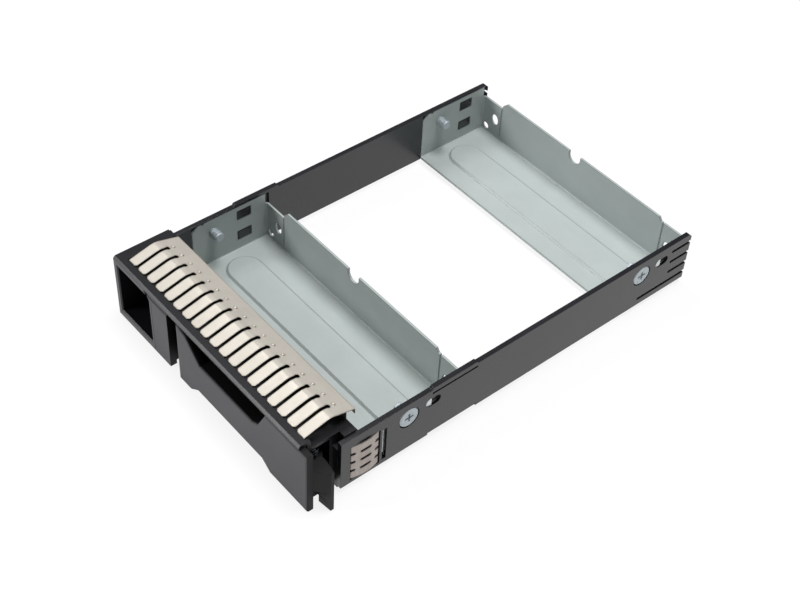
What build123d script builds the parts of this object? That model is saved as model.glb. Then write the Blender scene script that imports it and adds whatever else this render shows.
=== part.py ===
from build123d import *
import os

# A hot-swap drive carrier: a moulded bezel and two side rails, joined by two pressed steel trays.
# Millimetres. X runs to the right as seen from the front, Y runs back from the bezel's face,
# and Z runs up from the underside of the rails.

# The drive that the carrier takes
drive_width = 101.6
screw_pitch = 101.6
drive_gap = 0.1

# Side rails
rail_thickness = 1.7
rail_height = 20.5
rail_front = 12.4
rail_tail = 0.5
comb_step = 4.7
rib_rise = 0.7
rib_length = 18.5

# Pressed steel trays, two of the same kind
steel = 0.8
tray_front = 29.9
tray_depth = 31.6
tray_bend = 1.4
flange_height = 19.9
flange_corner = 3.3
wall_drop = 1.1
wall_half = 40.8
left_tab_drop = 4.5
right_tab_drop = 2.5
seam = 0.5
wall_corner = 2.0
corner_hole_radius = 1.5
corner_hole_inset = 3.6
screw_setback = 8.6
screw_height = 14.2
notch_width = 5.6
notch_bottom = 14.8
snap_setback = 18.2
snap_width = 5.9
snap_height = 4.0
low_snap_middle = 7.0
high_snap_middle = 16.0
floor_emboss = 0.7
bead_inset = 3.4
bead_width = 13.4
bead_middle = 14.2

# Front bezel
bezel_depth = 22.0
bezel_height = 24.9
bezel_bottom = -1.0
ledge_left = 42.8
ledge_rear = 19.0
ledge_front = 14.8
ledge_drop = 4.8
skin = 1.5
lip = 1.2
lip_setback = 0.8
lip_rear = 3.1
roof_height = 21.3
rib_drop = 0.7
back_wall = 12.6

# Window, release button and ejector lever, from left to right across the face
window_left_wall = 2.0
window_width = 18.7
window_bottom = 1.7
window_top = 22.0
window_depth = 17.0
window_bevel = 0.4
divider = 0.9
button_width = 8.8
button_ear = 3.6
button_ear_drop = 3.0
button_plate = 2.4
button_length = 9.0
button_travel = 2.0
keeper_depth = 4.0
groove_width = 4.9
running_gap = 0.3
fit_gap = 0.15

# Ejector lever
lever_beyond = 1.4
lever_plate = 2.4
lever_foot = -2.0
lever_round = 0.8
lever_relief = 3.0
scoop_floor = 14.2
scoop_left = 11.2
scoop_right = 43.2
scoop_rise = 4.0
scoop_ease = 3.0
scoop_drop = 2.0
foot_left = 6.6
foot_right = 18.6
foot_room = 1.0
pivot_inset = 6.1
pivot_back = 6.0
pivot_radius = 1.5
shaft_gap = 0.05
hub_radius = 3.5
hook_reach = 9.9
hook_slot = 3.0
hook_depth = 2.6
hook_top = 15.6
hook_notch = 6.5
hook_web = 4.3
hook_root = 4.8
hook_flare = 0.6
pocket_wall = 2.5

# Finger strip over the bezel's top edge
finger_count = 19
finger_pitch = 4.96
finger_slot = 1.1
sheet = 0.2
strip_front = 3.3
strip_crest = 12.9
strip_rise = 2.4
strip_slot_end = 15.9
strip_lip = 1.8

# Ground springs in the rails' side windows
side_front = 15.9
side_rear = 27.3
side_bottom = 1.3
side_top = 16.6
side_bulge = 0.5
side_sheet = 0.25
side_pocket = 0.35
side_floor = 0.4
side_slot = 1.6
side_web = 0.9

# Screws and spring wires
screw_radius = 1.72
head_radius = 3.7
head_gap = 0.3
screw_reach = 4.9
coil_wire = 0.5
coil_radius = 2.3

# Values that follow from the driving sizes
rail_inner = drive_width / 2 + drive_gap
rail_outer = rail_inner + rail_thickness
flange_outer = rail_inner + steel
wall_height = flange_height - wall_drop
left_tab_height = flange_height - left_tab_drop
right_tab_height = flange_height - right_tab_drop
front_screw = tray_front + screw_setback
rear_screw = front_screw + screw_pitch
rear_tray_front = tray_front + screw_pitch
rail_rear = rear_tray_front + tray_depth + rail_tail
lip_under = bezel_height - lip
roof_under = roof_height - lip
strip_seat = bezel_height - rib_drop
window_left = -rail_inner + window_left_wall
window_right = window_left + window_width
button_left = window_right + divider + fit_gap
button_right = button_left + button_width
lever_left = button_right + groove_width
lever_right = rail_inner + lever_beyond
lever_top = lip_under - running_gap
plate_top = bezel_bottom + skin
pivot_x = lever_right - pivot_inset
strip_half = (finger_pitch * finger_count - finger_slot) / 2
bay_back = back_wall - lip
hub_bottom = plate_top + running_gap
side_middle = (side_bottom + side_top) / 2
snap_spots = [low_snap_middle, high_snap_middle]

os.makedirs("parts", exist_ok=True)

# Front bezel: an open-backed moulding with a sunken roof under the finger strip
with BuildPart() as front_bezel:
    with BuildSketch(Plane.YZ.offset(-rail_inner)):
        with BuildLine():
            Polyline(
                (0, bezel_bottom),
                (bezel_depth, bezel_bottom),
                (bezel_depth, strip_seat),
                (bezel_depth - skin, strip_seat),
                (bezel_depth - skin, roof_height),
                (strip_front + lip, roof_height),
                (strip_front + lip, strip_seat),
                (lip_rear, strip_seat),
                (lip_rear, bezel_height),
                (lip_setback, bezel_height),
                (0, bezel_height - lip_setback),
                close=True,
            )
        make_face()
    extrude(amount=2 * rail_inner)
    # End wall at the left of the sunken roof
    with BuildSketch(Plane.XY.offset(roof_height)):
        with Locations((-(rail_inner + strip_half + running_gap) / 2, bezel_depth / 2)):
            Rectangle(rail_inner - strip_half - running_gap, bezel_depth - 2 * lip_setback)
    extrude(amount=bezel_height - roof_height)
    # Window pocket, closed behind
    with BuildSketch(Plane.XZ):
        with Locations(((window_left + window_right) / 2, (window_bottom + window_top) / 2)):
            Rectangle(window_width, window_top - window_bottom)
    extrude(amount=-lip_rear, mode=Mode.SUBTRACT)
    with BuildSketch(Plane.XZ):
        with Locations(((window_left + window_right) / 2, (window_bottom + roof_under) / 2)):
            Rectangle(window_width, roof_under - window_bottom)
    extrude(amount=-window_depth, mode=Mode.SUBTRACT)
    # Channel of the release button, from the face to the back
    with BuildSketch(Plane.XZ):
        with Locations(((button_left + button_right) / 2, (plate_top + roof_under) / 2)):
            Rectangle(button_width + 2 * fit_gap, roof_under - plate_top)
    extrude(amount=-bezel_depth, mode=Mode.SUBTRACT)
    # Recess of the button's front plate with its ear, deep enough for the travel
    with BuildSketch(Plane.XZ):
        with BuildLine():
            Polyline(
                (button_left - fit_gap, bezel_bottom),
                (lever_left, bezel_bottom),
                (lever_left, lip_under),
                (button_left - button_ear - running_gap, lip_under),
                (button_left - button_ear - running_gap, lip_under - 3 * fit_gap),
                (button_left - fit_gap, lip_under - button_ear_drop - 3 * fit_gap),
                close=True,
            )
        make_face()
    extrude(amount=-(button_plate + button_travel + fit_gap), mode=Mode.SUBTRACT)
    # Slot in the bottom for the button's stop lug
    with BuildSketch(Plane.XY.offset(bezel_bottom)):
        with Locations(((button_left + button_right) / 2, button_length - skin + button_travel / 2)):
            Rectangle(button_width / 2, button_travel + skin + 2 * fit_gap)
    extrude(amount=skin, mode=Mode.SUBTRACT)
    # Bay of the lever and the dark groove beside the button
    with BuildSketch(Plane.XZ):
        with Locations(((button_right + fit_gap + rail_inner) / 2, (plate_top + roof_under) / 2)):
            Rectangle(rail_inner - button_right - fit_gap, roof_under - plate_top)
    extrude(amount=-bay_back, mode=Mode.SUBTRACT)
    with BuildSketch(Plane.XZ):
        with Locations(((lever_left - running_gap + rail_inner) / 2, (bezel_bottom + lip_under) / 2)):
            Rectangle(rail_inner - lever_left + running_gap, lip_under - bezel_bottom)
    extrude(amount=-(lever_plate + running_gap), mode=Mode.SUBTRACT)
    with BuildSketch(Plane.XZ):
        with Locations(((lever_left - running_gap + rail_inner) / 2, (scoop_floor + lip_under) / 2)):
            Rectangle(rail_inner - lever_left + running_gap, lip_under - scoop_floor)
    extrude(amount=-lip_rear, mode=Mode.SUBTRACT)
    # Bottom plate set back where the lever's foot swings in
    with BuildSketch(Plane.XY.offset(bezel_bottom)):
        with Locations((rail_inner, 0)):
            Rectangle(2 * (rail_inner - pivot_x + running_gap), 2 * (lever_plate + foot_room))
    extrude(amount=skin, mode=Mode.SUBTRACT)
    # Open corner for the lever's hook at the right end
    with BuildSketch(Plane.XY.offset(bezel_bottom)):
        with Locations((rail_inner, 0)):
            Rectangle(2 * pocket_wall, 2 * rail_front)
    extrude(amount=bezel_height - bezel_bottom, mode=Mode.SUBTRACT)
    # Low ledge beside the finger strip: the rear wall and the roof's front step down around it
    with BuildSketch(Plane.XY.offset(roof_height - ledge_drop)):
        with Locations(((ledge_left + rail_inner) / 2, (ledge_rear + bezel_depth) / 2)):
            Rectangle(rail_inner - ledge_left, bezel_depth - ledge_rear)
        with Locations((rail_inner, (rail_front + ledge_front) / 2)):
            Rectangle(2 * pocket_wall, ledge_front - rail_front)
    extrude(amount=bezel_height, mode=Mode.SUBTRACT)
    # Cored pockets behind the bay, open downwards
    core_left = lever_left + skin
    core_step = (ledge_left - core_left) / 3
    with BuildSketch(Plane.XY.offset(bezel_bottom)):
        for core in range(3):
            with Locations((core_left + core_step * (core + 0.5), (back_wall + bezel_depth - skin) / 2)):
                Rectangle(core_step - skin, bezel_depth - skin - back_wall)
    extrude(amount=roof_under - bezel_bottom, mode=Mode.SUBTRACT)
    with BuildSketch(Plane.XY.offset(bezel_bottom)):
        with Locations(((ledge_left + rail_inner - skin) / 2, (back_wall + bezel_depth - skin) / 2)):
            Rectangle(rail_inner - ledge_left - skin, bezel_depth - skin - back_wall)
    extrude(amount=roof_height - ledge_drop - skin - bezel_bottom, mode=Mode.SUBTRACT)
    # Bores of the lever's pivot pin in the bottom plate and in the roof
    with BuildSketch(Plane.XY.offset(bezel_bottom)):
        with Locations((pivot_x, pivot_back)):
            Circle(pivot_radius)
    extrude(amount=roof_height - lip / 2 - bezel_bottom, mode=Mode.SUBTRACT)
    # Side lugs that seat in the rails
    for side in (-1, 1):
        with BuildSketch(Plane.YZ.offset(side * rail_inner)):
            with Locations(((side_front + bezel_depth) / 2 - skin, (side_top + rail_height) / 2)):
                Rectangle(bezel_depth - side_front, rail_height - side_top - 2 * skin)
        extrude(amount=side * lip_setback)
    # Softened frame of the window
    window_mouth = front_bezel.edges().filter_by(
        lambda edge: abs(edge.center().Y) < 0.01
        and window_left - 0.01 < edge.center().X < button_left - button_ear - fit_gap
        and window_bottom - 0.01 < edge.center().Z < window_top + 0.01
    )
    chamfer(window_mouth, window_bevel)
    # Soft outer corners at the left end of the face
    left_corner = front_bezel.edges().filter_by(Axis.Z).group_by(Axis.X)[0].group_by(Axis.Y)[0]
    chamfer(left_corner, lip_setback / 2)
front_bezel.part.label = "front_bezel"
export_step(front_bezel.part, "parts/front_bezel.step")

# Right side rail, with the recesses of the trays, the windows and the comb at its rear end
with BuildPart() as right_side_rail:
    with BuildSketch(Plane.YZ.offset(rail_inner)):
        with Locations(((rail_front + rail_rear) / 2, rail_height / 2)):
            Rectangle(rail_rear - rail_front, rail_height)
    extrude(amount=rail_thickness)
    rail_ends = right_side_rail.edges().filter_by(Axis.X).group_by(Axis.Y)
    chamfer(rail_ends[-1].group_by(Axis.Z)[-1], lip)
    # Raised rib on the top edge behind the front tray's middle, with a groove below it
    with BuildSketch(Plane.YZ.offset(rail_inner)):
        with Locations((front_screw + snap_setback, rail_height)):
            Trapezoid(rib_length, rib_rise, 60, align=(Align.CENTER, Align.MIN))
    extrude(amount=rail_thickness)
    with BuildSketch(Plane.YZ.offset(rail_outer - rail_thickness / 4)):
        with Locations((front_screw + snap_setback, rail_height - skin)):
            Rectangle(rib_length, skin / 2)
        with Locations((front_screw + snap_setback, 0)):
            Rectangle(rib_length + skin, 2 * lip)
    extrude(amount=rail_thickness, mode=Mode.SUBTRACT)
    # Long groove low on the outer face, open at the rear end
    with BuildSketch(Plane.YZ.offset(flange_outer)):
        with Locations((rail_rear, 2 * skin)):
            SlotOverall(2 * (rail_rear - rear_screw), lip)
    extrude(amount=rail_thickness, mode=Mode.SUBTRACT)
    # Recesses that take the trays' flanges
    for start in (tray_front, rear_tray_front):
        with BuildSketch(Plane.YZ.offset(rail_inner)):
            with Locations((start + tray_depth / 2, (flange_height + fit_gap) / 2)):
                Rectangle(tray_depth + 2 * fit_gap, flange_height + fit_gap)
        extrude(amount=steel, mode=Mode.SUBTRACT)
        # Snap hooks that fill the flange's windows
        with BuildSketch(Plane.YZ.offset(flange_outer)):
            for middle in snap_spots:
                with Locations((start + snap_setback + snap_width / 2, middle)):
                    Rectangle(snap_width - 2 * running_gap, snap_height - 2 * running_gap)
        extrude(amount=-steel)
        # Core slot behind the upper hook and clearance hole of the screw head
        with BuildSketch(Plane.YZ.offset(flange_outer)):
            with Locations((start + snap_setback, high_snap_middle - lip_setback)):
                SlotOverall(snap_width, snap_height - lip / 2)
            with Locations((start + screw_setback, screw_height)):
                Circle(head_radius + head_gap)
        extrude(amount=rail_thickness, mode=Mode.SUBTRACT)
    # Recess of the ground spring, undercut at both ends, and the narrow slot behind it
    with BuildSketch(Plane.YZ.offset(rail_inner + side_floor)):
        with Locations(((side_front + side_rear) / 2, side_middle)):
            Rectangle(side_rear - side_front, side_top - side_bottom)
        with Locations((side_rear + side_web + side_slot / 2, side_middle)):
            Rectangle(side_slot, side_top - side_bottom - lip)
    extrude(amount=rail_thickness, mode=Mode.SUBTRACT)
    with BuildSketch(Plane.YZ.offset(rail_inner + side_floor)):
        with Locations(((side_front + side_rear) / 2, side_middle)):
            Rectangle(side_rear - side_front + 2 * side_web, side_top - side_bottom)
    extrude(amount=side_pocket, mode=Mode.SUBTRACT)
    # Pocket of the bezel's lug
    with BuildSketch(Plane.YZ.offset(rail_inner)):
        with Locations(((side_front + bezel_depth) / 2 - skin, (side_top + rail_height) / 2)):
            Rectangle(bezel_depth - side_front + 2 * fit_gap, rail_height - side_top - 2 * (skin - fit_gap))
    extrude(amount=lip_setback + fit_gap, mode=Mode.SUBTRACT)
    # Comb at the rear end: slots open to the rear through the outer skin
    comb_top = screw_height + 2 * lip + running_gap
    with BuildSketch(Plane.YZ.offset(rail_inner)):
        for tooth in range(3):
            with Locations((rail_rear, comb_top - comb_step * tooth)):
                SlotOverall(2 * (rail_rear - rear_screw - screw_height), lip)
    extrude(amount=rail_thickness, mode=Mode.SUBTRACT)
right_side_rail.part.label = "right_side_rail"
export_step(right_side_rail.part, "parts/right_side_rail.step")

# Left side rail, the mirror image of the right one
with BuildPart() as left_side_rail:
    add(right_side_rail.part)
    mirror(about=Plane.YZ, mode=Mode.REPLACE)
left_side_rail.part.label = "left_side_rail"
export_step(left_side_rail.part, "parts/left_side_rail.step")

# Pressed tray: floor, two flanges, a cross wall and the flanges turned round the rear corners
with BuildPart() as tray_blank:
    with BuildSketch(Plane.XY):
        with Locations((0, tray_depth / 2)):
            Rectangle(2 * flange_outer, tray_depth)
    extrude(amount=flange_height)
    outer_bends = tray_blank.edges().filter_by(Axis.Z).group_by(Axis.Y)[-1]
    outer_bends += tray_blank.edges().filter_by(Axis.Y).group_by(Axis.Z)[0]
    outer_bends += tray_blank.edges().filter_by(Axis.X).group_by(Axis.Z)[0].group_by(Axis.Y)[-1]
    fillet(outer_bends, tray_bend)
with BuildPart() as tray_hollow:
    with BuildSketch(Plane.XY.offset(steel)):
        with Locations((0, tray_depth / 2 - steel)):
            Rectangle(2 * rail_inner, tray_depth)
    extrude(amount=flange_height)
    inner_bends = tray_hollow.edges().filter_by(Axis.Z).group_by(Axis.Y)[-1]
    inner_bends += tray_hollow.edges().filter_by(Axis.Y).group_by(Axis.Z)[0]
    inner_bends += tray_hollow.edges().filter_by(Axis.X).group_by(Axis.Z)[0].group_by(Axis.Y)[-1]
    fillet(inner_bends, tray_bend - steel)
with BuildPart() as tray:
    add(tray_blank.part)
    add(tray_hollow.part, mode=Mode.SUBTRACT)
    # Rear wall lower than the flanges, with a narrow seam beside each turned tab
    rear_wall = tray_depth - tray_bend
    with BuildSketch(Plane.XZ.offset(-rear_wall)):
        with BuildLine():
            Polyline(
                (-wall_half - seam, flange_height + seam),
                (-wall_half - seam, wall_height - wall_corner),
                (-wall_half, wall_height - wall_corner),
                (-wall_half + wall_corner, wall_height),
                (wall_half - wall_corner, wall_height),
                (wall_half - wall_corner / 2, right_tab_height),
                (wall_half + seam, right_tab_height),
                (wall_half + seam, flange_height + seam),
                close=True,
            )
        make_face()
        with Locations((-notch_width / 2, notch_bottom + notch_width)):
            SlotCenterToCenter(notch_width, notch_width, rotation=90)
        for side, tab_height in ((-1, left_tab_height), (1, right_tab_height)):
            with Locations((side * (wall_half + seam / 2), 2 * tray_bend + flange_height / 2)):
                Rectangle(seam, flange_height)
            with Locations((side * (wall_half + flange_outer) / 2, tab_height)):
                Rectangle(flange_outer - wall_half, flange_height, align=(Align.CENTER, Align.MIN))
            with Locations((side * (wall_half + corner_hole_inset), low_snap_middle + lip)):
                Ellipse(corner_hole_radius * 1.2, corner_hole_radius * 1.6)
            with Locations((side * (flange_outer - 2 * tray_bend), 2 * tray_bend)):
                Circle(corner_hole_radius)
    extrude(amount=-2 * tray_bend, mode=Mode.SUBTRACT)
    # Windows, screw holes and cut front corners of the two flanges
    with BuildSketch(Plane.YZ.offset(-flange_outer)):
        for middle in snap_spots:
            with Locations((snap_setback + snap_width / 2, middle)):
                Rectangle(snap_width, snap_height)
        with Locations((screw_setback, screw_height)):
            Circle(screw_radius + shaft_gap)
        with Locations((0, flange_height)):
            Rectangle(flange_corner, flange_corner, rotation=45)
        with Locations((flange_corner + lip, flange_height)):
            Circle(lip / 2)
    extrude(amount=2 * flange_outer, mode=Mode.SUBTRACT)
    # Long raised bead of the floor
    bead_length = 2 * (rail_inner - bead_inset)
    with BuildSketch(Plane.XY.offset(steel)):
        with Locations((0, bead_middle)):
            SlotOverall(bead_length, bead_width)
    extrude(amount=floor_emboss, taper=45)
    with BuildSketch(Plane.XY):
        with Locations((0, bead_middle)):
            SlotOverall(bead_length - 2 * floor_emboss, bead_width - 2 * floor_emboss)
    extrude(amount=floor_emboss, taper=45, mode=Mode.SUBTRACT)

# The same tray in front and at the rear, one screw pitch apart
with BuildPart() as front_tray:
    with Locations((0, tray_front, 0)):
        add(tray.part)
front_tray.part.label = "front_tray"
export_step(front_tray.part, "parts/front_tray.step")

with BuildPart() as rear_tray:
    with Locations((0, rear_tray_front, 0)):
        add(tray.part)
rear_tray.part.label = "rear_tray"
export_step(rear_tray.part, "parts/rear_tray.step")

# Spring finger strip: clipped over the bezel's rear edge, bowed up and down to the fingertips
with BuildPart() as finger_strip:
    with BuildSketch(Plane.YZ.offset(-strip_half)):
        with BuildLine():
            bow = Polyline(
                (bezel_depth + sheet, strip_seat - strip_lip),
                (bezel_depth + sheet, strip_seat + sheet),
                (strip_crest + skin, strip_seat + strip_rise),
                (strip_crest, strip_seat + strip_rise + sheet),
                (strip_crest - skin, strip_seat + strip_rise),
                (strip_front, strip_seat + 2 * sheet),
            )
            offset(bow, amount=sheet, side=Side.LEFT)
        make_face()
    extrude(amount=2 * strip_half)
    with BuildSketch(Plane.XY.offset(strip_seat - lip)):
        for slot in range(finger_count - 1):
            slot_x = -strip_half + finger_pitch * (slot + 1) - finger_slot / 2
            with Locations((slot_x, strip_front / 2 + strip_slot_end / 2 - skin)):
                Rectangle(finger_slot, strip_slot_end - strip_front + 2 * skin)
            with Locations((slot_x, strip_slot_end - lip / 2)):
                Circle(finger_slot * 0.7)
            with Locations((slot_x, strip_front)):
                Rectangle(1.6 * finger_slot, 1.6 * finger_slot, rotation=45)
    extrude(amount=strip_rise + 2 * lip, mode=Mode.SUBTRACT)
    # Small round pip in the sheet behind each slot
    pip_y = strip_slot_end + skin
    pip_z = strip_seat + strip_rise * (bezel_depth - pip_y) / (bezel_depth - strip_crest - skin)
    for slot in range(finger_count - 1):
        with Locations((-strip_half + finger_pitch * (slot + 1) - finger_slot / 2, pip_y, pip_z)):
            Sphere(finger_slot / 2)
finger_strip.part.label = "finger_strip"
export_step(finger_strip.part, "parts/finger_strip.step")

# Ground spring in the right rail's window: four bowed tongues between two flat ends
with BuildPart() as right_ground_spring:
    tab_outer = rail_inner + side_floor + side_pocket
    window_face = rail_outer - side_sheet
    with BuildSketch(Plane.XY.offset(side_bottom + fit_gap)):
        with BuildLine():
            bowed = Polyline(
                (tab_outer, side_front - side_web + fit_gap),
                (tab_outer, side_front + fit_gap),
                (window_face, side_front + fit_gap + side_sheet),
                (rail_outer + side_bulge, (side_front + side_rear) / 2 - skin),
                (rail_outer + side_bulge, (side_front + side_rear) / 2 + skin),
                (window_face, side_rear - fit_gap - side_sheet),
                (tab_outer, side_rear - fit_gap),
                (tab_outer, side_rear + side_web - fit_gap),
            )
            offset(bowed, amount=side_sheet, side=Side.LEFT)
        make_face()
    extrude(amount=side_top - side_bottom - 2 * fit_gap)
    tongue_step = (side_top - side_bottom) / 4
    with BuildSketch(Plane.YZ.offset(rail_inner)):
        for gap in (-1, 0, 1):
            with Locations(((side_front + side_rear) / 2, side_middle + gap * tongue_step)):
                SlotOverall((side_rear - side_front) * 0.36, tongue_step / 4)
            for end in (side_front, side_rear):
                with Locations((end, side_middle + gap * tongue_step)):
                    SlotOverall(2 * skin + side_web, tongue_step / 4)
    extrude(amount=rail_thickness + 2 * side_bulge, mode=Mode.SUBTRACT)
right_ground_spring.part.label = "right_ground_spring"
export_step(right_ground_spring.part, "parts/right_ground_spring.step")

with BuildPart() as left_ground_spring:
    add(right_ground_spring.part)
    mirror(about=Plane.YZ, mode=Mode.REPLACE)
left_ground_spring.part.label = "left_ground_spring"
export_step(left_ground_spring.part, "parts/left_ground_spring.step")

# Ejector lever: scooped front plate, hub on the pivot pin and a hook beyond a slot
with BuildPart() as ejector_lever:
    with BuildSketch(Plane.XZ):
        with BuildLine():
            Polyline(
                (lever_left, lever_foot),
                (lever_left + foot_left, lever_foot),
                (lever_left + foot_left + 1.4 * lever_relief, lever_foot + lever_relief),
                (lever_right - foot_right - 1.4 * lever_relief, lever_foot + lever_relief),
                (lever_right - foot_right, lever_foot),
                (lever_right, lever_foot),
                (lever_right, lever_top),
                (lever_left + scoop_right + scoop_rise, lever_top),
                (lever_left + scoop_right, scoop_floor + skin),
                (lever_left + scoop_right - scoop_ease, scoop_floor),
                (lever_left + scoop_left + skin, scoop_floor),
                (lever_left + scoop_left / 2, lever_top - scoop_drop),
                (lever_left, lever_top),
                close=True,
            )
        make_face()
    extrude(amount=-lever_plate)
    lever_face = ejector_lever.faces().sort_by(Axis.Y)[0]
    fillet(lever_face.edges(), lever_round)
    # Finger ledge and lower rib behind the plate
    with BuildSketch(Plane.YZ.offset(lever_left + scoop_left)):
        with Locations((lever_plate, scoop_floor)):
            Rectangle(bay_back - lever_plate - scoop_rise, skin, align=(Align.MIN, Align.MAX))
        with Locations((lever_plate, hub_bottom + lever_relief)):
            Rectangle(bay_back - lever_plate - scoop_rise - foot_room, skin, align=(Align.MIN, Align.MIN))
    extrude(amount=pivot_x - lever_left - scoop_left)
    # Hub, the web beside it and the hook
    with BuildSketch(Plane.XY.offset(hub_bottom)):
        with Locations((pivot_x, pivot_back)):
            Circle(hub_radius)
        with BuildLine():
            Polyline(
                (pivot_x - hub_radius, lever_plate / 2),
                (pivot_x + hook_web, lever_plate / 2),
                (pivot_x + hook_web, lever_plate + hook_slot),
                (pivot_x + hook_reach, lever_plate + hook_slot + hook_flare),
                (pivot_x + hook_reach, lever_plate + hook_slot + hook_flare + lip),
                (pivot_x + hook_root, lever_plate + hook_slot + hook_depth),
                (pivot_x, lever_plate + hook_slot + hook_depth),
                (pivot_x - hub_radius, pivot_back),
                close=True,
            )
        make_face()
    extrude(amount=hook_top - hub_bottom)
    # Web that closes the slot above its notch, and the foot of the hook
    with BuildSketch(Plane.XY.offset(hook_notch)):
        with BuildLine():
            Polyline(
                (pivot_x + hook_web, lever_plate / 2),
                (lever_right, lever_plate / 2),
                (lever_right, lever_plate),
                (pivot_x + hook_reach, lever_plate + hook_slot + hook_flare),
                (pivot_x + hook_web, lever_plate + hook_slot),
                close=True,
            )
        make_face()
    extrude(amount=hook_top - hook_notch)
    with BuildSketch(Plane.XY.offset(lever_foot)):
        with BuildLine():
            Polyline(
                (pivot_x + hook_root, lever_plate + hook_slot),
                (pivot_x + hook_reach, lever_plate + hook_slot + hook_flare),
                (pivot_x + hook_reach, lever_plate + hook_slot + hook_flare + lip),
                (pivot_x + hook_root, lever_plate + hook_slot + hook_depth),
                close=True,
            )
        make_face()
    extrude(amount=hub_bottom - lever_foot)
    # Bore of the pivot pin
    with BuildSketch(Plane.XY.offset(bezel_bottom)):
        with Locations((pivot_x, pivot_back)):
            Circle(pivot_radius + shaft_gap)
    extrude(amount=roof_under, mode=Mode.SUBTRACT)
ejector_lever.part.label = "ejector_lever"
export_step(ejector_lever.part, "parts/ejector_lever.step")

# Pivot pin of the lever, from the bottom plate up into the roof
with BuildPart() as lever_pivot_pin:
    with BuildSketch(Plane.XY.offset(bezel_bottom + shaft_gap)):
        with Locations((pivot_x, pivot_back)):
            Circle(pivot_radius - shaft_gap / 2)
    extrude(amount=roof_height - lip / 2 - bezel_bottom - 2 * shaft_gap)
    chamfer(lever_pivot_pin.edges(), coil_wire / 2)
lever_pivot_pin.part.label = "lever_pivot_pin"
export_step(lever_pivot_pin.part, "parts/lever_pivot_pin.step")

# Torsion spring of the lever: an open coil round the pin, above the hub
with BuildPart() as lever_spring:
    coil_low = hook_top + coil_wire / 2
    coil_height = roof_under - hook_top - coil_wire - running_gap
    with BuildLine() as turns:
        Helix(coil_height / 3, coil_height, coil_radius, center=(pivot_x, pivot_back, coil_low))
    with BuildSketch(Plane(origin=turns.line @ 0, z_dir=turns.line % 0)):
        Circle(coil_wire / 2)
    sweep(is_frenet=True)
lever_spring.part.label = "lever_spring"
export_step(lever_spring.part, "parts/lever_spring.step")

# Release button: front plate with an ear at its upper left corner, body, stop lug and spring pin
with BuildPart() as release_button:
    button_middle = (button_left + button_right) / 2
    with BuildSketch(Plane.XZ):
        with BuildLine():
            Polyline(
                (button_left, bezel_bottom),
                (button_right, bezel_bottom),
                (button_right, lever_top),
                (button_left - button_ear, lever_top),
                (button_left, lever_top - button_ear_drop),
                close=True,
            )
        make_face()
    extrude(amount=-button_plate)
    top_front = release_button.edges().filter_by(Axis.X).group_by(Axis.Z)[-1].group_by(Axis.Y)[0]
    chamfer(top_front, lip)
    with BuildSketch(Plane.XZ.offset(-button_plate)):
        with Locations((button_middle, (plate_top + roof_under) / 2)):
            Rectangle(button_width, roof_under - plate_top - 2 * fit_gap)
    extrude(amount=button_plate - button_length)
    # Stop lug in the bottom slot
    with BuildSketch(Plane.XY.offset(bezel_bottom + fit_gap)):
        with Locations((button_middle, button_length - skin)):
            Rectangle(button_width / 2 - 2 * fit_gap, skin)
    extrude(amount=skin)
    # Pocket and pin of the button's spring
    with BuildSketch(Plane.XZ.offset(-button_length)):
        with Locations((button_middle, roof_height / 2)):
            Circle(coil_radius + 2 * coil_wire)
    extrude(amount=3 * skin, mode=Mode.SUBTRACT)
    with BuildSketch(Plane.XZ.offset(3 * skin - button_length)):
        with Locations((button_middle, roof_height / 2)):
            Circle(coil_radius - 2 * coil_wire)
    extrude(amount=-3 * skin)
release_button.part.label = "release_button"
export_step(release_button.part, "parts/release_button.step")

# Keeper that closes the button's channel behind the spring
with BuildPart() as button_keeper:
    with BuildSketch(Plane.XZ.offset(-bezel_depth)):
        with Locations((button_middle, (plate_top + roof_under) / 2)):
            Rectangle(button_width, roof_under - plate_top - 2 * fit_gap)
    extrude(amount=keeper_depth)
    with BuildSketch(Plane.XZ.offset(-bezel_depth)):
        with Locations((button_middle, roof_height / 2)):
            Rectangle(button_width - 2 * skin, roof_height / 2)
    extrude(amount=keeper_depth - skin, mode=Mode.SUBTRACT)
button_keeper.part.label = "button_keeper"
export_step(button_keeper.part, "parts/button_keeper.step")

# Coil spring between the keeper and the bottom of the button's pocket
with BuildPart() as button_spring:
    spring_front = button_length - 3 * skin + coil_wire / 2
    spring_length = bezel_depth - keeper_depth - spring_front - coil_wire / 2
    with BuildLine() as coil:
        Helix(spring_length / 6, spring_length, coil_radius, center=(0, 0, 0))
    with BuildSketch(Plane(origin=coil.line @ 0, z_dir=coil.line % 0)):
        Circle(coil_wire / 2)
    sweep(is_frenet=True)
button_spring.part.label = "button_spring"
upright_spring = button_spring.part.rotate(Axis.X, -90)
button_spring.part = upright_spring.translate((button_middle, spring_front, roof_height / 2))
export_step(button_spring.part, "parts/button_spring.step")

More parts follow.
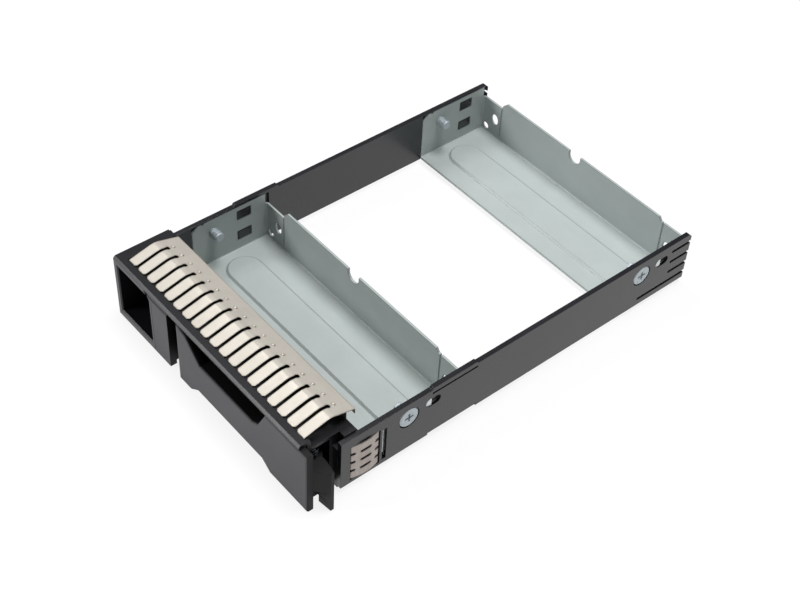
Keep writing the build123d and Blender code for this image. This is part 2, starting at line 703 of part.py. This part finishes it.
# Drive screws: flat head sunk in the rail, shank through the flange, cross recess
screw_places = {
    "front_left_screw": (-1, front_screw),
    "front_right_screw": (1, front_screw),
    "rear_left_screw": (-1, rear_screw),
    "rear_right_screw": (1, rear_screw),
}
for screw_name, (side, screw_y) in screw_places.items():
    head_x = side * flange_outer
    with BuildPart() as screw:
        with BuildSketch(Plane.YZ.offset(head_x)):
            with Locations((screw_y, screw_height)):
                Circle(head_radius)
        extrude(amount=side * (rail_thickness - steel))
        head_edge = screw.edges().group_by(Axis.X)[-1 if side > 0 else 0]
        fillet(head_edge, lip / 3)
        with BuildSketch(Plane.YZ.offset(head_x)):
            with Locations((screw_y, screw_height)):
                Circle(screw_radius)
        extrude(amount=-side * screw_reach)
        tip_edge = screw.edges().group_by(Axis.X)[0 if side > 0 else -1]
        chamfer(tip_edge, fit_gap * 2)
        with BuildSketch(Plane.YZ.offset(side * rail_outer)):
            with Locations((screw_y, screw_height)):
                for turn in (0, 90):
                    SlotOverall(2 * screw_radius, lip / 2, rotation=turn)
        extrude(amount=-side * lip, taper=10, mode=Mode.SUBTRACT)
    screw.part.label = screw_name
    export_step(screw.part, f"parts/{screw_name}.step")
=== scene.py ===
# %% [markdown]
# # A hot-swap drive carrier
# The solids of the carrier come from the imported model, in metres: X runs to the right, Y to the
# rear and Z up. This script gives each piece its finish, adds the few small things that the solids
# leave out, and lights the whole like a catalogue picture.

# %% Load the frame
from math import pi

import bmesh
import bpy
from mathutils import Matrix, Vector


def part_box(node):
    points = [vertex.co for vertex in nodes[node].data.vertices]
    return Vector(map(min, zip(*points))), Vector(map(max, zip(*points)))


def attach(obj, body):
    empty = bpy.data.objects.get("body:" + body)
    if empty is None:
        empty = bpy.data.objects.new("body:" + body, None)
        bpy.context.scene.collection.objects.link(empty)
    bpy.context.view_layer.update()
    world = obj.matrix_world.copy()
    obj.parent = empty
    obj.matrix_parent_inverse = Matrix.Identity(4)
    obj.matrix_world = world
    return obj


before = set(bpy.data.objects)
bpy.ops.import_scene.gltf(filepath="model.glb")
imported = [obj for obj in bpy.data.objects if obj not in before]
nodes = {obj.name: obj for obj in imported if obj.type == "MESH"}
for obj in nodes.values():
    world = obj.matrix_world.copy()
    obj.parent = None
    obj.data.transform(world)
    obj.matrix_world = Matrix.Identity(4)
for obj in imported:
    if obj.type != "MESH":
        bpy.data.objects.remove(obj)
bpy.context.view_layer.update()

scene = bpy.context.scene
print("nodes:", len(nodes))

# %% [markdown]
# ## The camera
# A picture of a flat, long object is mostly a matter of where the camera stands. This one looks
# from the front right, about 45 degrees above the floor, with a slight roll. The three rows of the
# view are the directions of the picture's right, down and depth. A short tele lens keeps the long
# rails nearly parallel, as in a product picture.

# %% Camera
view_right = Vector((0.63751, 0.76919, 0.04385))
view_down = Vector((0.56683, -0.42972, -0.70288))
view_depth = Vector((-0.52181, 0.47295, -0.70995))
camera_place = Vector((0.26050, -0.15669, 0.35176))
picture_width_px = 800.0
focal_length_px = 1458.24
sensor_width_mm = 36.0

camera_data = bpy.data.cameras.new("camera")
camera_data.sensor_width = sensor_width_mm
camera_data.lens = sensor_width_mm * focal_length_px / picture_width_px
camera_data.clip_start = 0.01
camera = bpy.data.objects.new("camera", camera_data)
turn = Matrix((view_right, -view_down, -view_depth)).transposed()
camera.matrix_world = Matrix.Translation(camera_place) @ turn.to_4x4()
scene.collection.objects.link(camera)
scene.camera = camera
print("lens:", round(camera_data.lens, 1), "mm")

# %% [markdown]
# ## Colours, nodes and pieces
# Colours are easiest to pick as the hex values of a colour picker, but a shader wants linear
# light. One function turns the one into the other. A second one adds a node, sets it and links
# it, so that each material below reads as a short list. A last one turns a finished bmesh into an
# object with its material.

# %% Helpers
def linear(hex_colour):
    channels = [int(hex_colour[i:i + 2], 16) / 255 for i in (1, 3, 5)]
    light = [
        c / 12.92 if c <= 0.04045 else ((c + 0.055) / 1.055) ** 2.4
        for c in channels
    ]
    return (*light, 1.0)


def add_node(tree, kind, inputs=None, **settings):
    node = tree.nodes.new(kind)
    for name, value in settings.items():
        setattr(node, name, value)
    for socket, value in (inputs or {}).items():
        if isinstance(value, bpy.types.NodeSocket):
            tree.links.new(value, node.inputs[socket])
        else:
            node.inputs[socket].default_value = value
    return node


def new_material(name):
    material = bpy.data.materials.new(name)
    material.use_nodes = True
    tree = material.node_tree
    tree.nodes.clear()
    place = add_node(tree, "ShaderNodeTexCoord").outputs["Object"]
    return material, tree, place


def per_mm(size_mm):
    return 1000.0 / size_mm


def new_piece(name, mesh_edit, material):
    mesh = bpy.data.meshes.new(name)
    mesh_edit.to_mesh(mesh)
    mesh_edit.free()
    mesh.materials.append(material)
    piece = bpy.data.objects.new(name, mesh)
    scene.collection.objects.link(piece)
    return piece


# %% [markdown]
# ## Moulded ABS
# The bezel and the rails are injection-moulded ABS, dyed through in black. The mould is spark
# eroded, which leaves a fine grain: the plastic looks satin, and its edges catch a soft line of
# light. Real grain is about 0.1 mm, too fine to show here, so it is drawn at 0.45 mm. A slow
# change of roughness keeps large faces from looking like one flat tone.
#
# The parts that the hand touches come from a coarser mould: the front of the lever and of the
# button is textured and looks greyer than its sides. The lighter front colour is partly that skin
# and partly painted light, where the front lamp falls on faces that look forward; the bezel's
# front gets it too. Two ramps find these faces, one on the way a face looks and one on how far
# forward it lies.

# %% Black moulded plastic
abs_grain_mm = 0.45
abs_cloud_mm = 30
abs_edge_radius = 0.00025
abs_ior = 1.53
# True normal's Y where the skin and its painted light start and where they are full
skin_and_light_normal = (-0.6, -0.85)
# Distance behind the bezel's face where the skin and its painted light start and where they are
# full, in metres
skin_and_light_depth = (0.0014, 0.0008)


def moulded_plastic(name, dark, pale, front, rough_low, rough_high, specular, depth_mm):
    material, tree, place = new_material(name)
    clouds = add_node(tree, "ShaderNodeTexNoise", {
        "Vector": place, "Scale": per_mm(abs_cloud_mm), "Detail": 4.0,
    })
    shade = add_node(tree, "ShaderNodeValToRGB", {"Fac": clouds.outputs["Fac"]})
    shade.color_ramp.elements[0].color = linear(dark)
    shade.color_ramp.elements[1].color = linear(pale)
    shade.color_ramp.elements[0].position = 0.35
    shade.color_ramp.elements[1].position = 0.65
    facing = add_node(tree, "ShaderNodeSeparateXYZ", {
        0: add_node(tree, "ShaderNodeNewGeometry").outputs["True Normal"],
    })
    lit_front_facing = add_node(tree, "ShaderNodeMapRange", {
        "Value": facing.outputs["Y"], "From Min": skin_and_light_normal[0], "From Max": skin_and_light_normal[1],
    })
    depth = add_node(tree, "ShaderNodeSeparateXYZ", {0: place})
    on_face = add_node(tree, "ShaderNodeMapRange", {
        "Value": depth.outputs["Y"], "From Min": skin_and_light_depth[0], "From Max": skin_and_light_depth[1],
    })
    # Forward faces at the front take the lighter colour: textured skin and painted light together
    skin_and_light_mask = add_node(tree, "ShaderNodeMath", {
        0: lit_front_facing.outputs["Result"], 1: on_face.outputs["Result"],
    }, operation="MULTIPLY")
    skin_and_light_colour = add_node(tree, "ShaderNodeMix", {
        "Factor": skin_and_light_mask.outputs["Value"], "A": shade.outputs["Color"], "B": linear(front),
    }, data_type="RGBA")
    satin = add_node(tree, "ShaderNodeMapRange", {
        "Value": clouds.outputs["Fac"], "From Min": 0.3, "From Max": 0.7,
        "To Min": rough_low, "To Max": rough_high,
    })
    grain = add_node(tree, "ShaderNodeTexNoise", {
        "Vector": place, "Scale": per_mm(abs_grain_mm), "Detail": 2.0, "Roughness": 0.6,
    })
    soft_edge = add_node(tree, "ShaderNodeBevel", {"Radius": abs_edge_radius}, samples=4)
    bump = add_node(tree, "ShaderNodeBump", {
        "Height": grain.outputs["Fac"], "Strength": 0.35, "Distance": depth_mm / 1000,
        "Normal": soft_edge.outputs["Normal"],
    })
    shader = add_node(tree, "ShaderNodeBsdfPrincipled", {
        "Base Color": skin_and_light_colour.outputs["Result"], "Roughness": satin.outputs["Result"],
        "Normal": bump.outputs["Normal"], "IOR": abs_ior, "Specular IOR Level": specular,
    })
    add_node(tree, "ShaderNodeOutputMaterial", {"Surface": shader.outputs["BSDF"]})
    return material


# front: the lighter colour of forward faces, textured skin and painted light together
black_abs = moulded_plastic(
    "moulded_black_abs", dark="#141418", pale="#1a1a1f", front="#232327",
    rough_low=0.24, rough_high=0.32, specular=0.5, depth_mm=0.012,
)
bezel_abs = moulded_plastic(
    "moulded_bezel_abs", dark="#111114", pale="#17171b", front="#232327",
    rough_low=0.3, rough_high=0.38, specular=0.3, depth_mm=0.012,
)
# The lever's black is darker than the other plastics as painted shade, standing in for the shadow
# its plate would cast on the hook and sides
lever_abs = moulded_plastic(
    "moulded_lever_abs", dark="#09090a", pale="#0e0e10", front="#48484b",
    rough_low=0.45, rough_high=0.55, specular=0.2, depth_mm=0.02,
)
print("plastics made:", black_abs.name, bezel_abs.name, lever_abs.name)

# %% [markdown]
# ## Zinc-coated and spring steel
# The trays are pressed from galvannealed sheet: a dull, slightly green grey that scatters light
# more than bare steel. The rolling leaves a faint grain along the sheet, here along X, and the
# coating has soft cloudy patches of a few millimetres. The press shears through the coating, so
# the cut edges show darker bare steel. A Bevel node finds them: its rounded normal leaves the
# true normal only close to an edge, and that difference drives the darker colour. It finds the
# bends and the edges of the pressed beads too, so there the darker colour is painted shade.
#
# The other steels share the recipe. The finger strip and the ground springs are bare spring
# strip with a warm tint, the screws have a bluish zinc plating, the lever's pin and coil are
# blued, and the button's spring is plain drawn wire.

# %% Sheet metals and wire
steel_grain_depth = 0.00001
steel_edge_radius = 0.0003
# Reach of the darker colour: bare steel at cut edges, painted shade at bends and bead edges
cut_and_shade_radius = 0.00065
# Rolling stretches the grain 25 times along X
rolled_along_x = (0.04, 1.0, 1.0)


def sheet_metal(name, dark, pale, cut_and_crease_shade, rough_low, rough_high, metal, cloud_mm, line_mm):
    material, tree, place = new_material(name)
    clouds = add_node(tree, "ShaderNodeTexNoise", {
        "Vector": place, "Scale": per_mm(cloud_mm), "Detail": 6.0, "Roughness": 0.55,
    })
    shade = add_node(tree, "ShaderNodeValToRGB", {"Fac": clouds.outputs["Fac"]})
    shade.color_ramp.elements[0].color = linear(dark)
    shade.color_ramp.elements[1].color = linear(pale)
    shade.color_ramp.elements[0].position = 0.3
    shade.color_ramp.elements[1].position = 0.7
    stretched = add_node(tree, "ShaderNodeMapping", {"Vector": place, "Scale": rolled_along_x})
    lines = add_node(tree, "ShaderNodeTexNoise", {
        "Vector": stretched.outputs["Vector"], "Scale": per_mm(line_mm), "Detail": 3.0,
    })
    satin = add_node(tree, "ShaderNodeMapRange", {
        "Value": lines.outputs["Fac"], "From Min": 0.3, "From Max": 0.7,
        "To Min": rough_low, "To Max": rough_high,
    })
    soft_edge = add_node(tree, "ShaderNodeBevel", {"Radius": steel_edge_radius}, samples=4)
    wide_edge = add_node(tree, "ShaderNodeBevel", {"Radius": cut_and_shade_radius}, samples=8)
    true_normal = add_node(tree, "ShaderNodeNewGeometry").outputs["True Normal"]
    likeness = add_node(tree, "ShaderNodeVectorMath", {
        0: wide_edge.outputs["Normal"], 1: true_normal,
    }, operation="DOT_PRODUCT")
    # Darker near every edge: bare steel where the sheet is cut, painted shade at bends and bead
    # edges
    cut_and_shade_mask = add_node(tree, "ShaderNodeMapRange", {
        "Value": likeness.outputs["Value"], "From Min": 0.998, "From Max": 0.9,
    })
    bare_edge_and_shade = add_node(tree, "ShaderNodeMix", {
        "Factor": cut_and_shade_mask.outputs["Result"], "A": shade.outputs["Color"], "B": linear(cut_and_crease_shade),
    }, data_type="RGBA")
    bump = add_node(tree, "ShaderNodeBump", {
        "Height": lines.outputs["Fac"], "Strength": 0.2, "Distance": steel_grain_depth,
        "Normal": soft_edge.outputs["Normal"],
    })
    shader = add_node(tree, "ShaderNodeBsdfPrincipled", {
        "Base Color": bare_edge_and_shade.outputs["Result"], "Metallic": metal,
        "Roughness": satin.outputs["Result"], "Normal": bump.outputs["Normal"],
    })
    add_node(tree, "ShaderNodeOutputMaterial", {"Surface": shader.outputs["BSDF"]})
    return material


# The second grey darkens the edges: bare steel where cut, painted shade at bends and beads
tray_zinc = sheet_metal(
    "zinc_coated_sheet", dark="#a6aeac", pale="#acb4b2", cut_and_crease_shade="#8a9290",
    rough_low=0.6, rough_high=0.68, metal=0.25, cloud_mm=14, line_mm=0.5,
)
finger_steel = sheet_metal(
    "spring_finger_steel", dark="#c3bdb3", pale="#cbc5bb", cut_and_crease_shade="#a0988d",
    rough_low=0.44, rough_high=0.52, metal=0.5, cloud_mm=6, line_mm=0.4,
)
clip_steel = sheet_metal(
    "ground_clip_steel", dark="#a1978f", pale="#b0a69f", cut_and_crease_shade="#6a625e",
    rough_low=0.34, rough_high=0.46, metal=0.5, cloud_mm=4, line_mm=0.4,
)
screw_zinc = sheet_metal(
    "blue_zinc_plating", dark="#aeb8bd", pale="#bcc5ca", cut_and_crease_shade="#8e979d",
    rough_low=0.42, rough_high=0.5, metal=0.35, cloud_mm=2, line_mm=0.3,
)
# A paler copy of the tray zinc for the slot tabs: a painted highlight
tab_zinc_painted_highlight = sheet_metal(
    "zinc_tab_painted_highlight", dark="#dfe5e4", pale="#e6ecea", cut_and_crease_shade="#dfe5e4",
    rough_low=0.4, rough_high=0.5, metal=0.3, cloud_mm=2, line_mm=0.3,
)
blued_steel = sheet_metal(
    "blued_spring_steel", dark="#26282b", pale="#303236", cut_and_crease_shade="#26282b",
    rough_low=0.3, rough_high=0.4, metal=0.8, cloud_mm=2, line_mm=0.3,
)
drawn_steel = sheet_metal(
    "drawn_steel", dark="#8f9191", pale="#a3a5a5", cut_and_crease_shade="#8f9191",
    rough_low=0.25, rough_high=0.35, metal=1.0, cloud_mm=2, line_mm=0.3,
)
print("metals made: 7")

# %% [markdown]
# ## Which piece is made of what
# The rails, the bezel and the button's keeper are black plastic, the lever and the button have the
# textured front, and the rest is metal. A solid that comes without a material slot gets one.

# %% Give each solid its finish
finishes = {
    "front_bezel": bezel_abs,
    "left_side_rail": black_abs,
    "right_side_rail": black_abs,
    "button_keeper": black_abs,
    "ejector_lever": lever_abs,
    "release_button": lever_abs,
    "front_tray": tray_zinc,
    "rear_tray": tray_zinc,
    "finger_strip": finger_steel,
    "left_ground_spring": clip_steel,
    "right_ground_spring": clip_steel,
    "lever_pivot_pin": blued_steel,
    "lever_spring": blued_steel,
    "button_spring": drawn_steel,
    "front_left_screw": screw_zinc,
    "front_right_screw": screw_zinc,
    "rear_left_screw": screw_zinc,
    "rear_right_screw": screw_zinc,
}
for node_name, material in finishes.items():
    slots = nodes[node_name].material_slots
    if not slots:
        nodes[node_name].data.materials.append(material)
    for slot in slots:
        slot.material = material
print("finished solids:", len(finishes))

# %% [markdown]
# ## Screw threads
# The ends of the four drive screws stick out inside the flanges. A thread is a ridge that winds
# round the shank. It could be cut, but a thin ridge laid on the shank is enough here: one small
# triangle is spun round the screw's axis and moved along it by one pitch a turn.

# %% Threads on the screw ends
thread_pitch = 0.0008
thread_turns = 4
steps_per_turn = 20
bare_tip = 0.0006
root_radius = 0.00168
ridge_half = 0.00026
ridge_height = 0.00032
for node_name in ("front_left_screw", "front_right_screw", "rear_left_screw", "rear_right_screw"):
    low, high = (Vector(corner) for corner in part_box(node_name))
    middle = (low + high) / 2
    inward = -1 if middle.x > 0 else 1
    tip_x = high.x if inward > 0 else low.x
    start_x = tip_x - inward * (bare_tip + thread_pitch * thread_turns)
    ridge = bmesh.new()
    corners = [(-ridge_half, 0), (0, ridge_height), (ridge_half, 0)]
    profile = [
        ridge.verts.new((start_x + along, middle.y + root_radius + out, middle.z))
        for along, out in corners
    ]
    edges = [ridge.edges.new((profile[i], profile[(i + 1) % 3])) for i in range(3)]
    bmesh.ops.spin(
        ridge, geom=profile + edges, cent=(start_x, middle.y, middle.z), axis=(1, 0, 0),
        dvec=(inward * thread_pitch / steps_per_turn, 0, 0),
        angle=2 * pi * thread_turns, steps=steps_per_turn * thread_turns,
    )
    bmesh.ops.holes_fill(ridge, edges=ridge.edges)
    bmesh.ops.recalc_face_normals(ridge, faces=ridge.faces)
    thread = new_piece(node_name + "_thread", ridge, screw_zinc)
    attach(thread, "cage")
print("threads made: 4")

# %% [markdown]
# ## Steel behind the rail slots
# Each tray snaps into its rail at an oval slot, and the ground spring has its root in a narrow
# one. The sheet is bent out a little there, so a small bright tab shows in the front part of
# each slot. Its zinc is paler than the trays': the brightness is a painted highlight. It stays
# below the rail's face and is seated on the sheet or the slot's floor.

# %% Tabs in the slots
# Low and high corner of each tab on the right side; the left side mirrors it
slot_tabs = {
    "front_hook": ((0.0516, 0.04515, 0.0135), (0.0523, 0.0476, 0.0169)),
    "rear_hook": ((0.0516, 0.1468, 0.0135), (0.0523, 0.1492, 0.0169)),
    "spring_root": ((0.0512, 0.0280, 0.0050), (0.0523, 0.0287, 0.0156)),
}
for tab_name, (low, high) in slot_tabs.items():
    tab_size = Vector(high) - Vector(low)
    tab_middle = (Vector(low) + Vector(high)) / 2
    for side_name, side in (("left", -1), ("right", 1)):
        block = bmesh.new()
        bmesh.ops.create_cube(block, size=1.0)
        bmesh.ops.scale(block, vec=tab_size, verts=block.verts)
        bmesh.ops.translate(
            block, vec=(side * tab_middle.x, tab_middle.y, tab_middle.z), verts=block.verts,
        )
        tab = new_piece(side_name + "_" + tab_name, block, tab_zinc_painted_highlight)
        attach(tab, "cage")
print("slot tabs made:", 2 * len(slot_tabs))

# %% [markdown]
# ## The floor
# Catalogue pictures are taken on a white sweep. The floor here is a large pale plane, just under
# the lever's foot, which is the lowest point. Rays that come straight from the camera or from a
# reflection see it nearly white, and the rest see plain matt paint, so the object still stands in
# its own soft shadow.

# %% Floor
floor_height = -0.0021
floor_reach = 4.0
glow_share = 0.85
floor_material, floor_tree, _ = new_material("white_sweep")
paper = add_node(floor_tree, "ShaderNodeBsdfDiffuse", {"Color": linear("#f4f4f4")})
glow = add_node(floor_tree, "ShaderNodeEmission", {"Color": linear("#ffffff"), "Strength": 1.0})
ray = add_node(floor_tree, "ShaderNodeLightPath")
seen = add_node(floor_tree, "ShaderNodeMath", {
    0: ray.outputs["Is Camera Ray"], 1: ray.outputs["Is Glossy Ray"],
}, operation="MAXIMUM")
seen_or_through = add_node(floor_tree, "ShaderNodeMath", {
    0: seen.outputs[0], 1: ray.outputs["Is Transmission Ray"],
}, operation="MAXIMUM")
share = add_node(floor_tree, "ShaderNodeMath", {
    0: seen_or_through.outputs[0], 1: glow_share,
}, operation="MULTIPLY")
sweep = add_node(floor_tree, "ShaderNodeMixShader", {
    0: share.outputs[0], 1: paper.outputs["BSDF"], 2: glow.outputs["Emission"],
})
add_node(floor_tree, "ShaderNodeOutputMaterial", {"Surface": sweep.outputs["Shader"]})
plane = bmesh.new()
bmesh.ops.create_grid(plane, x_segments=1, y_segments=1, size=floor_reach)
bmesh.ops.translate(plane, vec=(0, 0, floor_height), verts=plane.verts)
floor = new_piece("floor", plane, floor_material)

# %% [markdown]
# ## Light
# One large soft lamp overhead does most of the work. A second from the front left lights the
# fingers and the lever's face, and a weak third, high on the left, softens the shadows of both.
# The air of the studio adds a little light from all sides, and the camera sees it as plain white.

# %% Lamps and surroundings
def soft_lamp(name, place, target, size, power):
    lamp_data = bpy.data.lights.new(name, "AREA")
    lamp_data.shape = "DISK"
    lamp_data.size = size
    lamp_data.energy = power
    lamp = bpy.data.objects.new(name, lamp_data)
    aim = (Vector(place) - Vector(target)).to_track_quat("Z", "Y").to_matrix()
    lamp.matrix_world = Matrix.Translation(place) @ aim.to_4x4()
    scene.collection.objects.link(lamp)


soft_lamp("overhead", place=(0.10, 0.22, 1.05), target=(0, 0.08, 0), size=0.5, power=10.5)
soft_lamp("front", place=(-0.55, -0.78, 0.56), target=(0, 0.05, 0), size=0.4, power=6.8)
soft_lamp("high_left", place=(-0.55, 0.15, 0.95), target=(0, 0.05, 0), size=0.4, power=2)

world = bpy.data.worlds.new("studio")
world.use_nodes = True
world_tree = world.node_tree
world_tree.nodes.clear()
world_ray = add_node(world_tree, "ShaderNodeLightPath")
air = add_node(world_tree, "ShaderNodeBackground", {"Color": linear("#e9ecef"), "Strength": 0.2})
backdrop = add_node(world_tree, "ShaderNodeBackground", {
    "Color": linear("#ffffff"), "Strength": 1.0,
})
studio = add_node(world_tree, "ShaderNodeMixShader", {
    0: world_ray.outputs["Is Camera Ray"],
    1: air.outputs["Background"], 2: backdrop.outputs["Background"],
})
add_node(world_tree, "ShaderNodeOutputWorld", {"Surface": studio.outputs["Shader"]})
scene.world = world
scene.view_settings.view_transform = "Standard"
